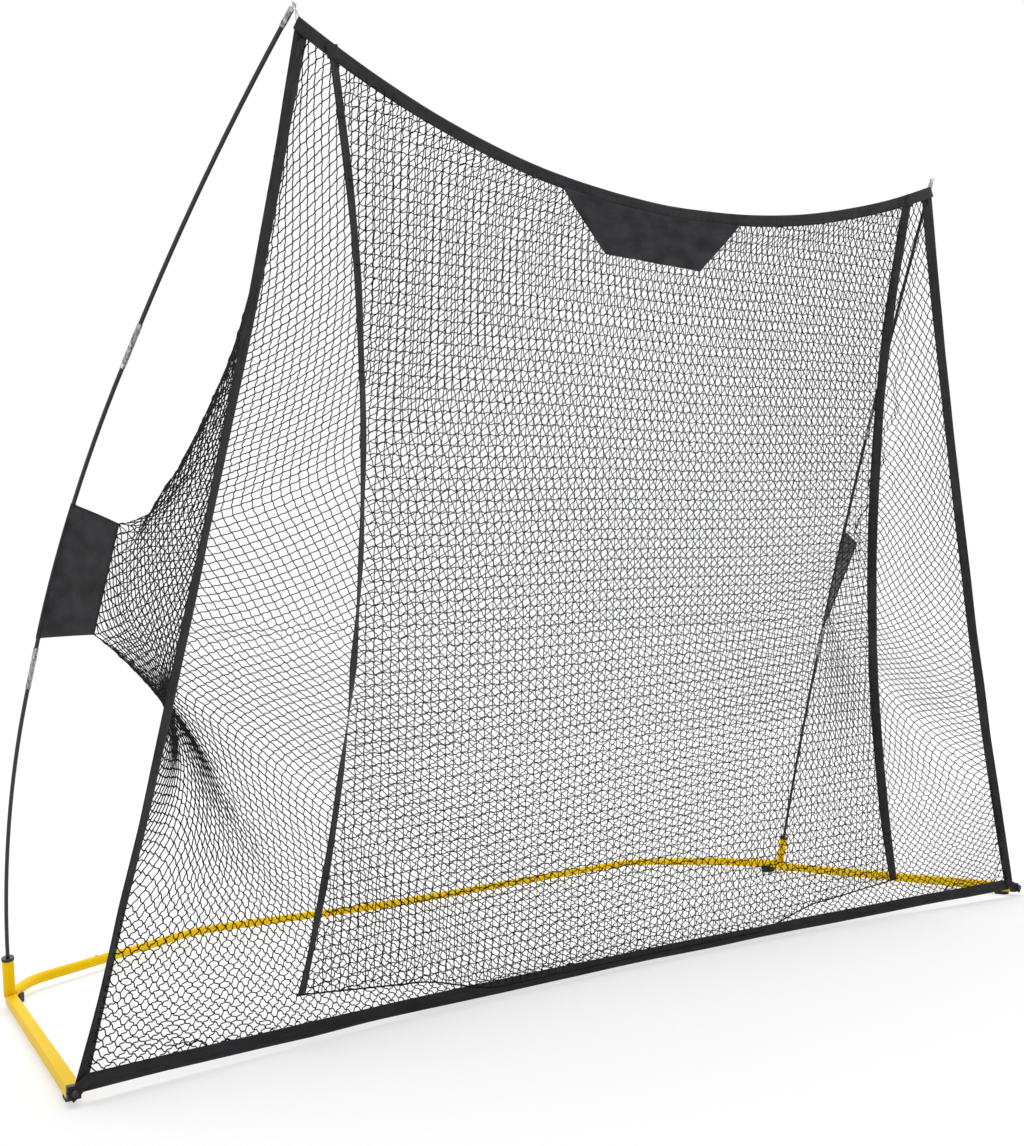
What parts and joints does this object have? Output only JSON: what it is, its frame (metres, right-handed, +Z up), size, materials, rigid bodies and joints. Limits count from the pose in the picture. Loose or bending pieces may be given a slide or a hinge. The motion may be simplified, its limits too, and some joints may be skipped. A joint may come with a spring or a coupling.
{
  "type": "golf practice net",
  "caption": "Free-standing golf hitting net with a low tube base, two bowed poles and a net bag that catches the ball.",
  "frame": {"origin": "middle of the footprint on the floor", "axes": "+X to the right as the golfer sees it, +Y away from the golfer, +Z up"},
  "size_m": [3.1078, 2.2728, 2.3563],
  "materials": {
    "yellow_paint": "satin powder coat",
    "black_rubber": "matt",
    "black_plastic": "fine moulded texture",
    "glass_fibre": "satin pultruded rod",
    "bare_aluminium": "brushed tube",
    "clear_plastic": "cloudy moulding",
    "spring_steel": "plain strip",
    "button_steel": "plain pin",
    "black_netting": "knotless cord",
    "black_cloth": "plain woven nylon",
    "black_webbing": "woven tape with a slight sheen",
    "pale_elastic": "braided elastic"
  },
  "bodies": {
    "root": {"back_bar_left": "yellow_paint", "back_bar_right": "yellow_paint", "back_net": "black_netting", "bottom_tape": "black_webbing", "front_left_foot": "black_rubber", "front_right_foot": "black_rubber", "header_patch": "black_cloth", "hitting_net": "black_netting", "left_button_spring": "spring_steel", "left_corner_loop": "pale_elastic", "left_corner_strap": "black_webbing", "left_edge_tape": "black_webbing", "left_elbow": "yellow_paint", "left_flag": "black_cloth", "left_hem": "black_webbing", "left_lower_ferrule": "bare_aluminium", "left_lower_rod": "glass_fibre", "left_middle_rod": "glass_fibre", "left_rail": "yellow_paint", "left_rail_cap": "black_plastic", "left_socket": "yellow_paint", "left_socket_liner": "black_plastic", "left_tip_cap": "clear_plastic", "left_tip_ferrule": "bare_aluminium", "left_upper_ferrule": "bare_aluminium", "left_upper_rod": "glass_fibre", "left_wing_net": "black_netting", "middle_button_spring": "spring_steel", "rear_left_foot": "black_rubber", "rear_right_foot": "black_rubber", "right_button_spring": "spring_steel", "right_corner_loop": "pale_elastic", "right_corner_strap": "black_webbing", "right_edge_tape": "black_webbing", "right_elbow": "yellow_paint", "right_flag": "black_cloth", "right_hem": "black_webbing", "right_lower_ferrule": "bare_aluminium", "right_lower_rod": "glass_fibre", "right_middle_rod": "glass_fibre", "right_rail": "yellow_paint", "right_rail_cap": "black_plastic", "right_socket": "yellow_paint", "right_socket_liner": "black_plastic", "right_tip_cap": "clear_plastic", "right_tip_ferrule": "bare_aluminium", "right_upper_ferrule": "bare_aluminium", "right_upper_rod": "glass_fibre", "right_wing_net": "black_netting", "top_tape": "black_webbing"},
    "left_button": {"left_button": "button_steel"},
    "middle_button": {"middle_button": "button_steel"},
    "right_button": {"right_button": "button_steel"}
  },
  "joints": [
    {"name": "left_button_press", "type": "slide", "parent": "root", "child": "left_button", "axis": [0, 0, -1], "range_m": [0, 0.0046], "stiffness_N_per_m": 1200, "springref_m": -0.004, "deforming": ["left_button_spring"]},
    {"name": "middle_button_press", "type": "slide", "parent": "root", "child": "middle_button", "axis": [0, 0, -1], "range_m": [0, 0.0046], "stiffness_N_per_m": 1200, "springref_m": -0.004, "deforming": ["middle_button_spring"]},
    {"name": "right_button_press", "type": "slide", "parent": "root", "child": "right_button", "axis": [0, 0, -1], "range_m": [0, 0.0046], "stiffness_N_per_m": 1200, "springref_m": -0.004, "deforming": ["right_button_spring"]}
  ]
}
